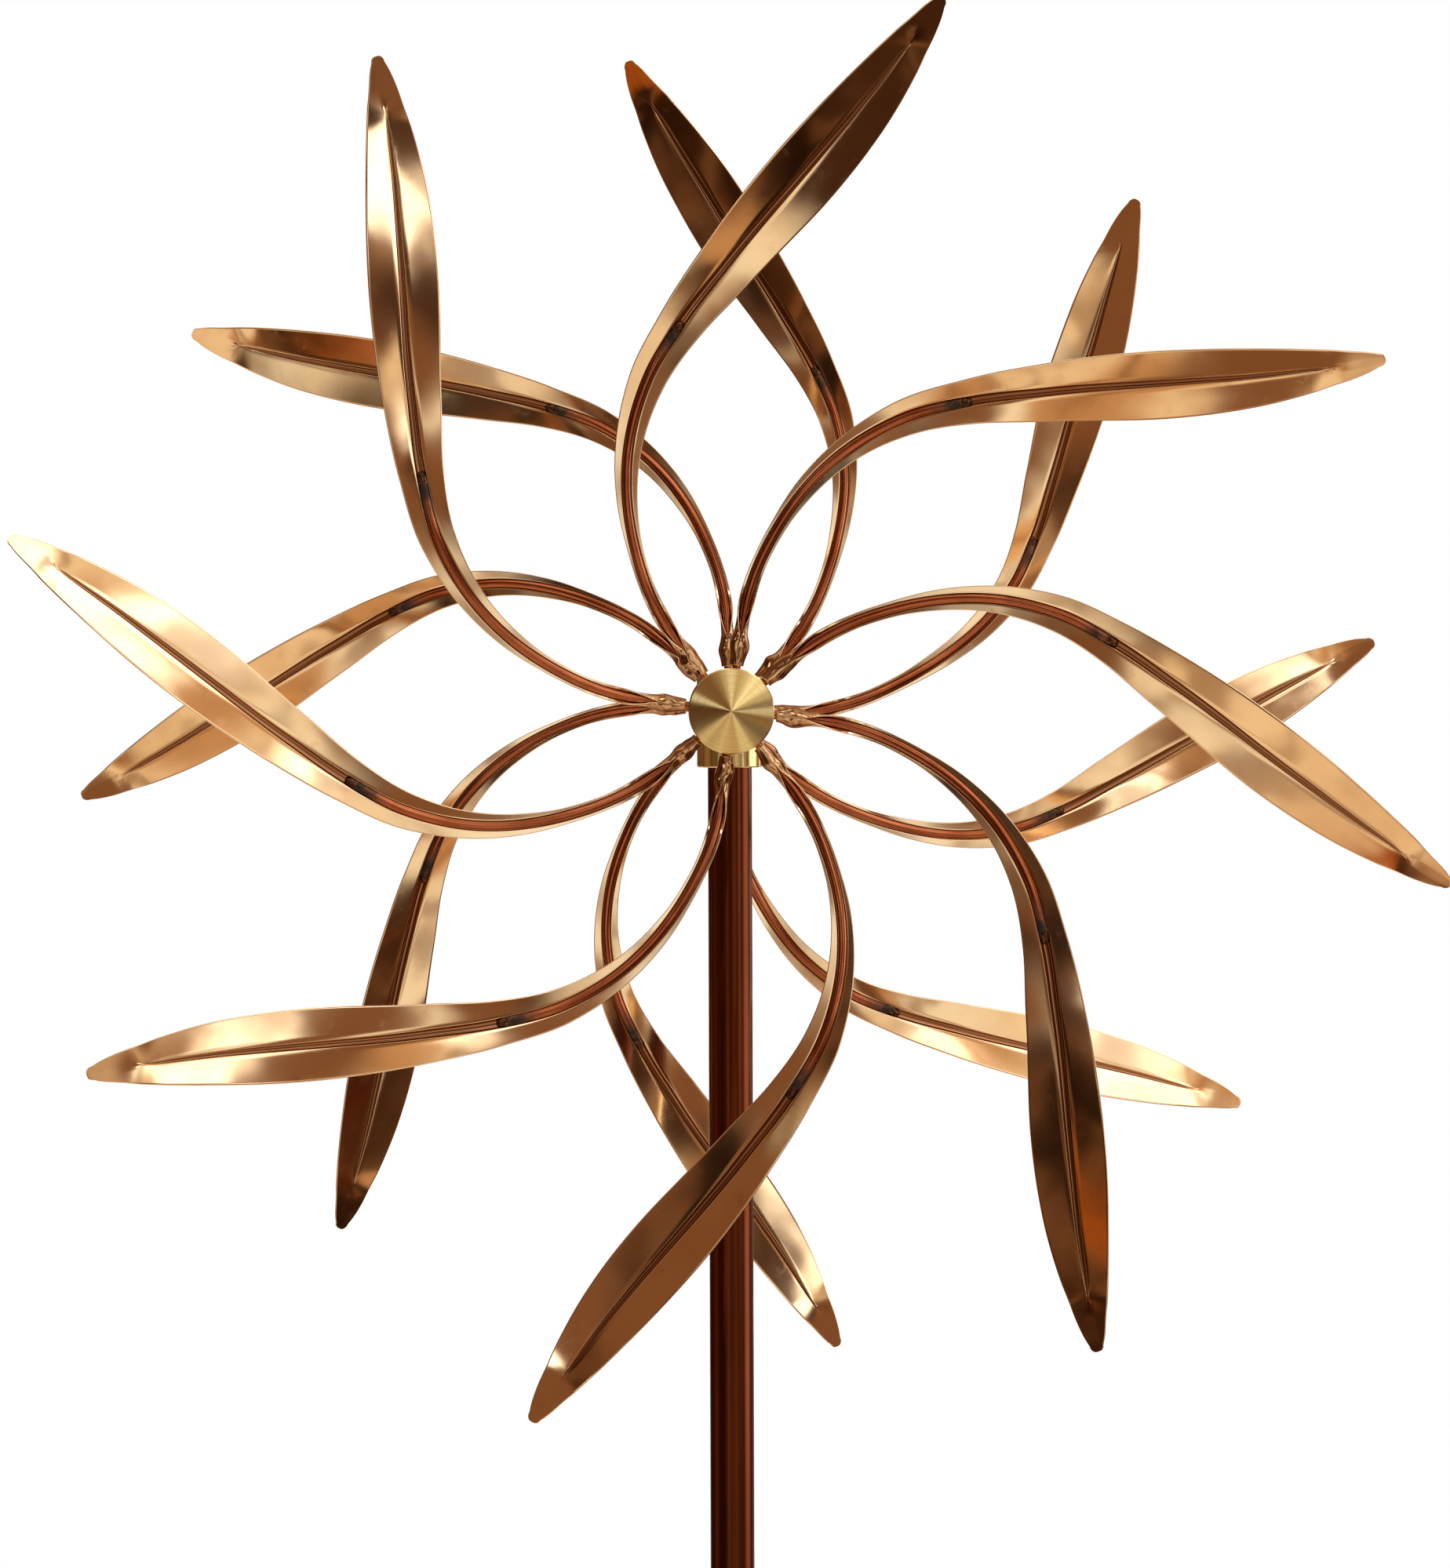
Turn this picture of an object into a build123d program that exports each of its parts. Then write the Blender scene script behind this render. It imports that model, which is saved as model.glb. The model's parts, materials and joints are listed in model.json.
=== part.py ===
"""Twin-rotor wind spinner on a staked copper pole, in millimetres.

The pole stands on the Z axis with the ground at Z = 0. The axle lies along Y through the brass
head on top of the pole. The front rotor is on the -Y side and the rear rotor on the +Y side.
Each rotor has eight willow-leaf petals of copper sheet, soldered to curved copper rods.
"""

import os
from math import atan2, cos, radians, sin, tan

from build123d import *

# ---- Rotors: sizes in the rotor's plane, and "out", the distance from the pole's plane ----
HUB_OUT = 62.0

# Petal centreline, from near the axle to the tip: radius -> degrees back from the tip, and
# radius -> out.
SWEEP = ((12, 55.0), (46, 53.5), (79, 47.0), (112, 39.1), (140, 30.9), (160, 24.0), (182, 17.3),
         (213, 10.3), (246, 5.1), (282, 1.3), (300, 0.0))
LEAN = ((12, 62.0), (32, 62.3), (60, 66.0), (100, 74.0), (157, 84.6), (230, 96.0), (300, 104.0))

# Petal sheet: radius -> full width, and radius -> pitch in degrees.
WIDTH = ((22, 6.6), (33, 6.2), (44, 5.7), (79, 6.2), (96, 8.1), (112, 10.0), (128, 12.4),
         (140, 14.7), (157, 17.8), (182, 24.6), (213, 30.6), (233, 30.8), (252, 27.6), (270, 21.6),
         (285, 14.2), (294, 8.4), (299.2, 2.6))
PITCH = ((22, 0.0), (100, 0.0), (140, 5.0), (190, 17.0), (240, 25.0), (300, 28.0))
SHEET = 0.7
DIHEDRAL = 5.0
SHEET_STATIONS = (24, 29, 36, 46, 60, 79, 96, 112, 126, 140, 157, 175, 195, 215, 235, 252, 268,
                  281, 290, 296, 299.2)

# Each petal is bent and set by hand, so no two agree. For each one: the angle of its tip, the
# degrees its bow falls short, and the degrees its blade is pitched beyond the rest.
FRONT_PETALS = (
    (73.2, 0.0, 5.0),
    (28.0, -0.5, 10.0),
    (-13.9, 1.0, 4.0),
    (-60.6, 0.0, 0.0),
    (-106.1, -1.0, -1.0),
    (-151.0, 0.0, 2.0),
    (166.1, 0.5, 4.0),
    (118.1, -0.5, 6.0),
)
REAR_PETALS = (
    (81.3, 2.5, 1.0),
    (128.9, 4.5, -8.0),
    (174.2, 3.0, -3.0),
    (-142.3, 2.0, 0.0),
    (-99.8, -0.5, 3.0),
    (-53.3, 0.5, 2.0),
    (-7.8, 1.0, 2.0),
    (35.1, 0.0, -6.0),
)
# Radius -> share of a petal's own shortfall of bow, and of its own pitch.
BOW_SHARE = ((12, 0.0), (30, 0.1), (56, 0.75), (90, 1.0), (126, 0.7), (157, 0.42), (204, 0.2),
             (240, 0.0), (300, 0.0))
PITCH_SHARE = ((22, 0.0), (110, 0.0), (200, 1.0), (300, 1.0))

ROD_DIAMETER = 3.5
ROD_START = 12.5
ROD_END = 157.0
ROD_BENDS = (34, 50, 66, 82, 97, 112, 127, 142, ROD_END)
CHANNEL_RADIUS = 2.05
CHANNEL_END = 288.0
# The channel's corners, in degrees from its bottom. Past the rod's end it shrinks to this share
# of its radius, and its bottom rises by this share of what it loses.
CHANNEL_CORNERS = (-78, -39, 0, 39, 78)
CHANNEL_LEAST_SHARE = 0.22
CHANNEL_RISE_SHARE = 0.35
BLADE_LEAST_WIDTH = 0.35

# ---- Hubs ----
HUB_DIAMETER = 35.5
HUB_INNER = 51.0
HUB_OUTER = 73.0
HUB_WEB = 6.0
HUB_WEB_BORE = 18.0
CAP_OUTER = 77.0
CAP_RECESS = 75.2
CAP_SPIGOT_START = 72.1
CAP_RECESS_DIAMETER = 16.0
EDGE_CHAMFER = 0.5

# ---- Deep-groove ball bearings, 8 x 22 x 7 ----
BEARING_BORE = 8.0
BEARING_OUTSIDE = 22.0
BEARING_WIDTH = 7.0
INNER_RING_DIAMETER = 12.8
OUTER_RING_BORE = 18.2
BALLS = 7
BALL_DIAMETER = 3.96
BALL_CIRCLE = 15.5
RACE_RADIUS = 2.04
BEARING_STARTS = {"inner": 52.0, "outer": 65.0}

# ---- Axle and head ----
AXLE_HEIGHT = 1524.0
AXLE_DIAMETER = 8.0
AXLE_END = 74.4
CLIP_START = 72.1
CLIP_THICKNESS = 1.0
CLIP_GROOVE_DIAMETER = 7.2
CLIP_OUTSIDE = 12.4
CLIP_GAP = 3.2
SPACER_OUTSIDE = 12.0
SPACER_BORE = 8.3
HEAD_DIAMETER = 28.3
HEAD_BELOW = 24.8
HEAD_ABOVE = 14.2
HEAD_FLAT = 13.0
HEAD_FLAT_DIAMETER = 13.0
SOCKET_DEPTH = 17.0

# ---- Pole and ground stake ----
POLE_DIAMETER = 19.05
POLE_WALL = 1.25
NECK_LENGTH = 55.0
NECK_CLEARANCE = 0.05
NECK_SHOULDER = 2.5
MIDDLE_TOP = 1010.0
LOWER_TOP = 505.0
STAKE_DIAMETER = 16.0
STAKE_IN_POLE = 120.0
STAKE_COLLAR_DIAMETER = 30.0
STAKE_COLLAR = 6.0
STAKE_COLLAR_CHAMFER = 1.0
STAKE_DEPTH = 250.0
STAKE_POINT = 35.0
STAKE_TIP_DIAMETER = 2.0

# ---- Grub screws ----
SCREW_DIAMETER = 4.0
SCREW_LENGTH = 5.0
SCREW_SOCKET = 2.0
SCREW_SOCKET_DEPTH = 2.2
SCREW_SUNK_AXLE = 0.4
SCREW_SUNK_POLE = 0.2


def smooth(knots, x):
    """The knots' value at x, by cubic pieces that share their slopes where they meet."""
    last = len(knots) - 1
    slopes = []
    for i in range(last + 1):
        (x0, y0), (x1, y1) = knots[max(i - 1, 0)], knots[min(i + 1, last)]
        slopes.append((y1 - y0) / (x1 - x0))
    i = 0
    while i < last - 1 and x > knots[i + 1][0]:
        i += 1
    (x0, y0), (x1, y1) = knots[i], knots[i + 1]
    span = x1 - x0
    t = min(max((x - x0) / span, 0.0), 1.0)
    rise = y0 * (1 + 2 * t) * (1 - t) ** 2 + y1 * t * t * (3 - 2 * t)
    return rise + span * t * (1 - t) * (slopes[i] * (1 - t) - slopes[i + 1] * t)


def on_centreline(radius, petal, place):
    """Point of a petal's centreline. The place is its rotor's plane, with z as the way out."""
    tip_angle, bow_shortfall, _ = petal
    back = smooth(SWEEP, radius) - bow_shortfall * smooth(BOW_SHARE, radius)
    angle = radians(tip_angle + back)
    return place.from_local_coords(
        Vector(radius * cos(angle), radius * sin(angle), smooth(LEAN, radius))
    )


def sheet_plane(radius, petal, rod_side, place):
    """Plane across the sheet: x along its width, y from the sheet to its rod, z to the tip."""
    step = 0.5
    before = on_centreline(radius - step, petal, place)
    after = on_centreline(radius + step, petal, place)
    along = (after - before).normalized()
    level = along.cross(place.z_dir).normalized()
    face = level.cross(along)
    tilt = radians(smooth(PITCH, radius) + petal[2] * smooth(PITCH_SHARE, radius))
    facing = face * (rod_side * cos(tilt)) + level * sin(tilt)
    here = on_centreline(radius, petal, place)
    return Plane(origin=here, x_dir=facing.cross(along), z_dir=along)


def sheet_outline(radius):
    """Corners of the sheet's cross-section: a channel that holds the rod, and a blade each side."""
    fade = min(1.0, max(0.0, (CHANNEL_END - radius) / (CHANNEL_END - ROD_END)))
    channel = CHANNEL_RADIUS * (CHANNEL_LEAST_SHARE + (1 - CHANNEL_LEAST_SHARE) * fade)
    sink = (CHANNEL_RADIUS - channel) * CHANNEL_RISE_SHARE
    half = max(smooth(WIDTH, radius) / 2, channel + BLADE_LEAST_WIDTH)
    front = []
    for turn in CHANNEL_CORNERS:
        corner = radians(turn)
        front.append((channel * sin(corner), -channel * cos(corner) - sink))
    shoulder_x, shoulder_y = front[-1]
    edge_y = shoulder_y + (half - shoulder_x) * tan(radians(DIHEDRAL))
    front = [(-half, edge_y), *front, (half, edge_y)]
    back = []
    last = len(front) - 1
    for i, (x, y) in enumerate(front):
        (x0, y0), (x1, y1) = front[max(i - 1, 0)], front[min(i + 1, last)]
        before = atan2(y - y0, x - x0) if i else atan2(y1 - y, x1 - x)
        after = atan2(y1 - y, x1 - x) if i < last else before
        middle = (before + after) / 2
        reach = SHEET / cos((after - before) / 2)
        back.append((x + reach * sin(middle), y - reach * cos(middle)))
    return front + back[::-1]


def make_rod(name, petal, place):
    """Copper rod: straight in the hub, then bent along the petal's centreline to half-way out."""
    start = on_centreline(ROD_START, petal, place)
    rim = on_centreline(HUB_DIAMETER / 2, petal, place)
    bends = [on_centreline(radius, petal, place) for radius in ROD_BENDS]
    with BuildPart() as rod:
        with BuildLine() as path:
            Line(start, rim)
            Spline(rim, *bends, tangents=(rim - start, bends[-1] - bends[-2]))
        with BuildSketch(Plane(origin=start, z_dir=rim - start)):
            Circle(ROD_DIAMETER / 2)
        sweep(path=path.line)
    rod.part.label = name
    return rod.part


def make_leaf(name, petal, rod_side, place):
    """Willow leaf of copper sheet, pressed with a channel for the rod and pitched to the wind."""
    with BuildPart() as leaf:
        for radius in SHEET_STATIONS:
            with BuildSketch(sheet_plane(radius, petal, rod_side, place)):
                with BuildLine():
                    Polyline(*sheet_outline(radius), close=True)
                make_face()
        loft()
    leaf.part.label = name
    return leaf.part


def make_hub(name, petals, place):
    """Turned brass hub with two bearing seats, a web between them and eight rod holes."""
    with BuildPart() as hub:
        with BuildSketch(place.offset(HUB_INNER)):
            Circle(HUB_DIAMETER / 2)
        extrude(amount=HUB_OUTER - HUB_INNER)
        chamfer(hub.edges().filter_by(GeomType.CIRCLE), length=EDGE_CHAMFER)
        with BuildSketch(place.offset(HUB_INNER)):
            Circle(HUB_WEB_BORE / 2)
        extrude(amount=HUB_OUTER - HUB_INNER, mode=Mode.SUBTRACT)
        with BuildSketch(place.offset(HUB_INNER)):
            Circle(BEARING_OUTSIDE / 2)
        extrude(amount=HUB_OUT - HUB_WEB / 2 - HUB_INNER, mode=Mode.SUBTRACT)
        with BuildSketch(place.offset(HUB_OUT + HUB_WEB / 2)):
            Circle(BEARING_OUTSIDE / 2)
        extrude(amount=HUB_OUTER - HUB_OUT - HUB_WEB / 2, mode=Mode.SUBTRACT)
        for petal in petals:
            start = on_centreline(ROD_START, petal, place)
            rim = on_centreline(HUB_DIAMETER / 2, petal, place)
            with BuildSketch(Plane(origin=start, z_dir=rim - start)):
                Circle(ROD_DIAMETER / 2)
            extrude(amount=HUB_DIAMETER / 2, mode=Mode.SUBTRACT)
    hub.part.label = name
    return hub.part


def make_cap(name, place):
    """Brass cap pressed in the hub's outer seat, recessed over the axle's end."""
    with BuildPart() as cap:
        with BuildSketch(place.offset(HUB_OUTER)):
            Circle(HUB_DIAMETER / 2)
        extrude(amount=CAP_OUTER - HUB_OUTER)
        chamfer(cap.edges().filter_by(GeomType.CIRCLE), length=EDGE_CHAMFER)
        with BuildSketch(place.offset(CAP_SPIGOT_START)):
            Circle(BEARING_OUTSIDE / 2)
        extrude(amount=HUB_OUTER - CAP_SPIGOT_START)
        with BuildSketch(place.offset(CAP_SPIGOT_START)):
            Circle(CAP_RECESS_DIAMETER / 2)
        extrude(amount=CAP_RECESS - CAP_SPIGOT_START, mode=Mode.SUBTRACT)
    cap.part.label = name
    return cap.part


def make_ring(name, bore, outside, start, place):
    """One ring of a ball bearing, with the balls' track turned in it."""
    across = Plane(origin=place.origin, x_dir=place.x_dir, z_dir=place.y_dir)
    out_way = -1 if (across.from_local_coords((0, 1, 0)) - place.origin).dot(place.z_dir) < 0 else 1
    middle = start + BEARING_WIDTH / 2
    with BuildPart() as ring:
        with BuildSketch(across):
            with Locations(((bore + outside) / 4, out_way * middle)):
                Rectangle((outside - bore) / 2, BEARING_WIDTH)
            with Locations((BALL_CIRCLE / 2, out_way * middle)):
                Circle(RACE_RADIUS, mode=Mode.SUBTRACT)
        revolve(axis=Axis(place.origin, place.z_dir))
    ring.part.label = name
    return ring.part


def make_balls(name, start, place):
    """The balls of one bearing."""
    with BuildPart() as balls:
        with Locations(place.offset(start + BEARING_WIDTH / 2)):
            with PolarLocations(BALL_CIRCLE / 2, BALLS):
                Sphere(BALL_DIAMETER / 2)
    balls.part.label = name
    return balls.part


def make_axle():
    """Steel axle with a clip groove near each end."""
    with BuildPart() as axle:
        with BuildSketch(Plane.XZ.offset(-AXLE_END)):
            with Locations((0, AXLE_HEIGHT)):
                Circle(AXLE_DIAMETER / 2)
        extrude(amount=2 * AXLE_END)
        chamfer(axle.edges().filter_by(GeomType.CIRCLE), length=EDGE_CHAMFER)
        for start in (CLIP_START, -CLIP_START - CLIP_THICKNESS):
            with BuildSketch(Plane.XZ.offset(start)):
                with Locations((0, AXLE_HEIGHT)):
                    Circle(AXLE_DIAMETER / 2)
                    Circle(CLIP_GROOVE_DIAMETER / 2, mode=Mode.SUBTRACT)
            extrude(amount=CLIP_THICKNESS, mode=Mode.SUBTRACT)
    axle.part.label = "axle"
    return axle.part


def make_clips():
    """The two open retaining rings that hold the bearings on the axle."""
    with BuildPart() as clips:
        for start in (CLIP_START, -CLIP_START - CLIP_THICKNESS):
            with BuildSketch(Plane.XZ.offset(start)):
                with Locations((0, AXLE_HEIGHT)):
                    Circle(CLIP_OUTSIDE / 2)
                    Circle(CLIP_GROOVE_DIAMETER / 2, mode=Mode.SUBTRACT)
                with Locations((0, AXLE_HEIGHT - CLIP_OUTSIDE / 2)):
                    Rectangle(CLIP_GAP, CLIP_OUTSIDE, mode=Mode.SUBTRACT)
            extrude(amount=CLIP_THICKNESS)
    clips.part.label = "axle_clips"
    return clips.part


def make_spacer(name, place):
    """Sleeve on the axle between the head and the inner bearing."""
    with BuildPart() as spacer:
        with BuildSketch(place.offset(HEAD_FLAT)):
            Circle(SPACER_OUTSIDE / 2)
            Circle(SPACER_BORE / 2, mode=Mode.SUBTRACT)
        extrude(amount=BEARING_STARTS["inner"] - HEAD_FLAT)
    spacer.part.label = name
    return spacer.part


def screw_seats():
    """For each grub screw: the plane its hole starts from, with z inwards, and the depth."""
    top = HEAD_ABOVE - SCREW_SUNK_AXLE
    side = HEAD_DIAMETER / 2 - SCREW_SUNK_POLE
    socket_middle = AXLE_HEIGHT - HEAD_BELOW + SOCKET_DEPTH / 2
    over_axle = Plane(origin=(0, 0, AXLE_HEIGHT + top), z_dir=(0, 0, -1))
    beside_pole = Plane(origin=(side, 0, socket_middle), z_dir=(-1, 0, 0))
    return (over_axle, top - AXLE_DIAMETER / 2), (beside_pole, side - POLE_DIAMETER / 2)


def make_head():
    """Brass head: a socket over the pole, a cross bore for the axle and two screw holes."""
    bottom = AXLE_HEIGHT - HEAD_BELOW
    with BuildPart() as head:
        with BuildSketch(Plane.XY.offset(bottom)):
            Circle(HEAD_DIAMETER / 2)
        extrude(amount=HEAD_BELOW + HEAD_ABOVE)
        chamfer(head.edges().filter_by(GeomType.CIRCLE), length=EDGE_CHAMFER)
        with BuildSketch(Plane.XY.offset(bottom)):
            Circle(POLE_DIAMETER / 2)
        extrude(amount=SOCKET_DEPTH, mode=Mode.SUBTRACT)
        with BuildSketch(Plane.XZ):
            with Locations((0, AXLE_HEIGHT)):
                Circle(AXLE_DIAMETER / 2)
        extrude(amount=HEAD_DIAMETER, both=True, mode=Mode.SUBTRACT)
        for start in (HEAD_FLAT, -HEAD_FLAT - HEAD_DIAMETER):
            with BuildSketch(Plane.XZ.offset(start)):
                with Locations((0, AXLE_HEIGHT)):
                    Circle(HEAD_FLAT_DIAMETER / 2)
            extrude(amount=HEAD_DIAMETER, mode=Mode.SUBTRACT)
        for seat, depth in screw_seats():
            with BuildSketch(seat.offset(-SCREW_DIAMETER / 2)):
                Circle(SCREW_DIAMETER / 2)
            extrude(amount=depth + SCREW_DIAMETER, mode=Mode.SUBTRACT)
    head.part.label = "pole_head"
    return head.part


def make_screws():
    """Socket grub screws: one on the axle and one on the pole."""
    with BuildPart() as screws:
        for seat, depth in screw_seats():
            length = min(SCREW_LENGTH, depth)
            with BuildSketch(seat.offset(depth - length)):
                Circle(SCREW_DIAMETER / 2)
            extrude(amount=length)
            with BuildSketch(seat.offset(depth - length)):
                RegularPolygon(SCREW_SOCKET / 2, 6)
            extrude(amount=SCREW_SOCKET_DEPTH, mode=Mode.SUBTRACT)
    screws.part.label = "grub_screws"
    return screws.part


def make_pole_section(name, bottom, top, neck):
    """Copper tube, with a drawn-down neck at its top where another section slips over it."""
    bore = POLE_DIAMETER - 2 * POLE_WALL
    with BuildPart() as tube:
        with BuildSketch(Plane.XY.offset(bottom)):
            Circle(POLE_DIAMETER / 2)
            Circle(bore / 2, mode=Mode.SUBTRACT)
        extrude(amount=top - bottom)
        if neck:
            neck_radius = bore / 2 - NECK_CLEARANCE
            with BuildSketch(Plane.XY.offset(top - NECK_SHOULDER)):
                Circle(POLE_DIAMETER / 2)
                Circle(neck_radius - POLE_WALL, mode=Mode.SUBTRACT)
            extrude(amount=NECK_SHOULDER)
            with BuildSketch(Plane.XY.offset(top)):
                Circle(neck_radius)
                Circle(neck_radius - POLE_WALL, mode=Mode.SUBTRACT)
            extrude(amount=NECK_LENGTH)
    tube.part.label = name
    return tube.part


def make_stake():
    """Pointed steel stake with the collar that the foot presses and the pole stands on."""
    with BuildPart() as stake:
        with BuildSketch(Plane.XY.offset(-STAKE_DEPTH)):
            Circle(STAKE_DIAMETER / 2)
        extrude(amount=STAKE_DEPTH + STAKE_COLLAR + STAKE_IN_POLE)
        with BuildSketch(Plane.XY):
            Circle(STAKE_COLLAR_DIAMETER / 2)
        extrude(amount=STAKE_COLLAR)
        collar = stake.edges().filter_by(GeomType.CIRCLE).group_by(SortBy.RADIUS)[-1]
        chamfer(collar, length=STAKE_COLLAR_CHAMFER)
        with BuildSketch(Plane.XY.offset(-STAKE_DEPTH)):
            Circle(STAKE_DIAMETER / 2)
        with BuildSketch(Plane.XY.offset(-STAKE_DEPTH - STAKE_POINT)):
            Circle(STAKE_TIP_DIAMETER / 2)
        loft()
    stake.part.label = "ground_stake"
    return stake.part


def make_rotor(side, petals, rod_side, place):
    """Every piece of one rotor and of its two bearings."""
    pieces = [make_hub(f"{side}_hub", petals, place), make_cap(f"{side}_cap", place)]
    for where, start in BEARING_STARTS.items():
        name = f"{side}_{where}_bearing"
        pieces += [
            make_ring(f"{name}_inner_ring", BEARING_BORE, INNER_RING_DIAMETER, start, place),
            make_ring(f"{name}_outer_ring", OUTER_RING_BORE, BEARING_OUTSIDE, start, place),
            make_balls(f"{name}_balls", start, place),
        ]
    for number, petal in enumerate(petals, start=1):
        pieces += [
            make_rod(f"{side}_rod_{number}", petal, place),
            make_leaf(f"{side}_leaf_{number}", petal, rod_side, place),
        ]
    return pieces


def main():
    axle_middle = (0, 0, AXLE_HEIGHT)
    front = Plane(origin=axle_middle, x_dir=(1, 0, 0), z_dir=(0, -1, 0))
    rear = Plane(origin=axle_middle, x_dir=(-1, 0, 0), z_dir=(0, 1, 0))
    socket_top = AXLE_HEIGHT - HEAD_BELOW + SOCKET_DEPTH
    pieces = make_rotor("front", FRONT_PETALS, 1, front) + make_rotor("rear", REAR_PETALS, -1, rear)
    pieces += [
        make_axle(),
        make_clips(),
        make_spacer("front_spacer", front),
        make_spacer("rear_spacer", rear),
        make_head(),
        make_screws(),
        make_pole_section("upper_pole", MIDDLE_TOP, socket_top, neck=False),
        make_pole_section("middle_pole", LOWER_TOP, MIDDLE_TOP, neck=True),
        make_pole_section("lower_pole", STAKE_COLLAR, LOWER_TOP, neck=True),
        make_stake(),
    ]
    os.makedirs("parts", exist_ok=True)
    for piece in pieces:
        export_step(piece, f"parts/{piece.label}.step")


main()
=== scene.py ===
"""Looks of the twin-rotor wind spinner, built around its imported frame.

The petals and their rods are built here as finer meshes, which stand in for the CAD solids, and a
lump of brazing metal is added at the end of each rod. The other CAD nodes keep their shapes and get
their materials here. Petal sizes are in millimetres, as in the part's own design, and everything in
the scene is in metres.
"""

import json
import math

import bpy
from mathutils import Matrix, Vector, noise


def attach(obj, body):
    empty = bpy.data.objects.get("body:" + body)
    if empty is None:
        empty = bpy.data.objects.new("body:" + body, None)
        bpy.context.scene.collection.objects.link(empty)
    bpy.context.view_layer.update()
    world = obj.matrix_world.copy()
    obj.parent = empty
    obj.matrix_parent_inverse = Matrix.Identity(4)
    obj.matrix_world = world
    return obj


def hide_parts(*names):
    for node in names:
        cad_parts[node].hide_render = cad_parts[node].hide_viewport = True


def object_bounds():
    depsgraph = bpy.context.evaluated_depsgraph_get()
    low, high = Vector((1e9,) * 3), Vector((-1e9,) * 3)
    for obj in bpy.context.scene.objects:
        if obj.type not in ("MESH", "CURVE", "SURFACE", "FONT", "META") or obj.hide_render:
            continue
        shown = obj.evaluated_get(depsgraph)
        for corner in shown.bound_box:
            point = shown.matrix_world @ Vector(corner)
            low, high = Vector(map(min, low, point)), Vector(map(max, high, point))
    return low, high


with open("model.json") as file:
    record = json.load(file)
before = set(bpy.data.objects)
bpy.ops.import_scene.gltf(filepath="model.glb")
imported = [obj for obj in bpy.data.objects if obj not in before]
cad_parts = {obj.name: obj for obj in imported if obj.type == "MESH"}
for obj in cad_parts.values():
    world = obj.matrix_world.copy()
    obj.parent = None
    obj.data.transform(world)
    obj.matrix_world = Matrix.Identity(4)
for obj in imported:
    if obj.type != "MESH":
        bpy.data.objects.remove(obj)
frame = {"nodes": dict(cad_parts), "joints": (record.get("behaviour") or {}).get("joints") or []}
cad_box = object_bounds()
MM = 0.001

# ---- The petals' design, in millimetres and degrees ----
SWEEP = ((12, 55.0), (46, 53.5), (79, 47.0), (112, 39.1), (140, 30.9), (160, 24.0), (182, 17.3),
         (213, 10.3), (246, 5.1), (282, 1.3), (300, 0.0))
LEAN = ((12, 62.0), (32, 62.3), (60, 66.0), (100, 74.0), (157, 84.6), (230, 96.0), (300, 104.0))
WIDTH = ((22, 6.6), (33, 6.2), (44, 5.7), (79, 6.2), (96, 8.1), (112, 10.0), (128, 12.4),
         (140, 14.7), (157, 17.8), (182, 24.6), (213, 30.6), (233, 30.8), (252, 27.6), (270, 21.6),
         (285, 14.2), (294, 9.0), (297.4, 5.8))
PITCH = ((22, 0.0), (100, 0.0), (140, 5.0), (190, 17.0), (240, 25.0), (300, 28.0))
BOW_SHARE = ((12, 0.0), (30, 0.1), (56, 0.75), (90, 1.0), (126, 0.7), (157, 0.42), (204, 0.2),
             (240, 0.0), (300, 0.0))
PITCH_SHARE = ((22, 0.0), (110, 0.0), (200, 1.0), (300, 1.0))
# For each petal: the angle of its tip, the degrees its bow falls short, and its own pitch.
PETALS = {
    "front": ((73.2, 0.0, 5.0), (28.0, -0.5, 10.0), (-13.9, 1.0, 4.0), (-60.6, 0.0, 0.0),
              (-106.1, -1.0, -1.0), (-151.0, 0.0, 2.0), (166.1, 0.5, 4.0), (118.1, -0.5, 6.0)),
    "rear": ((81.3, 2.5, 1.0), (128.9, 4.5, -8.0), (174.2, 3.0, -3.0), (-142.3, 2.0, 0.0),
             (-99.8, -0.5, 3.0), (-53.3, 0.5, 2.0), (-7.8, 1.0, 2.0), (35.1, 0.0, -6.0)),
}
ROD_SIDE = {"front": 1, "rear": -1}

SHEET = 0.7
TIP_RADIUS = 300.0
TIP_ROUND = 2.6
ROOT_RADIUS = 19.0
ROD_RADIUS = 1.75
ROD_START = 15.0
ROD_END = 157.0
CHANNEL = 2.05
CHANNEL_END = 284.0
# Past the rod's end the channel shrinks to this share of its radius, by this power of the way
# left, and its bottom rises by this share of what it loses.
CHANNEL_LEAST = 0.22
CHANNEL_POWER = 0.55
CHANNEL_RISE = 0.35
# Radius -> degrees that the sheet wraps each side of the rod, and the slope it settles to.
WRAP = ((19, 172.0), (31, 170.0), (37, 128.0), (45, 90.0), (56, 80.0), (200, 80.0), (256, 74.0),
        (274, 52.0), (283, 3.0), (300, 1.0))
SETTLE = ((19, 172.0), (31, 166.0), (37, 100.0), (45, 40.0), (54, 12.0), (70, 6.0), (272, 6.0),
          (286, 1.0), (300, 0.6))
# Radius -> width of the lip beside the channel. Past the lips' end the blade's width is used.
LIP = ((19, 0.12), (31, 0.15), (38, 0.7), (46, 0.85), (54, 0.75), (70, 0.5))
LIP_END = 62.0
# Radius of the roll between the channel and the lip or blade.
SHOULDER = 0.32
CRIMP_AT = 27.0
CRIMP_REACH = 4.6
CRIMP_SWELL = 0.62

joints = {joint["name"]: joint for joint in frame["joints"]}
axle = Vector(joints["front_spin"]["pos_m"])
axle.y = 0.0


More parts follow.
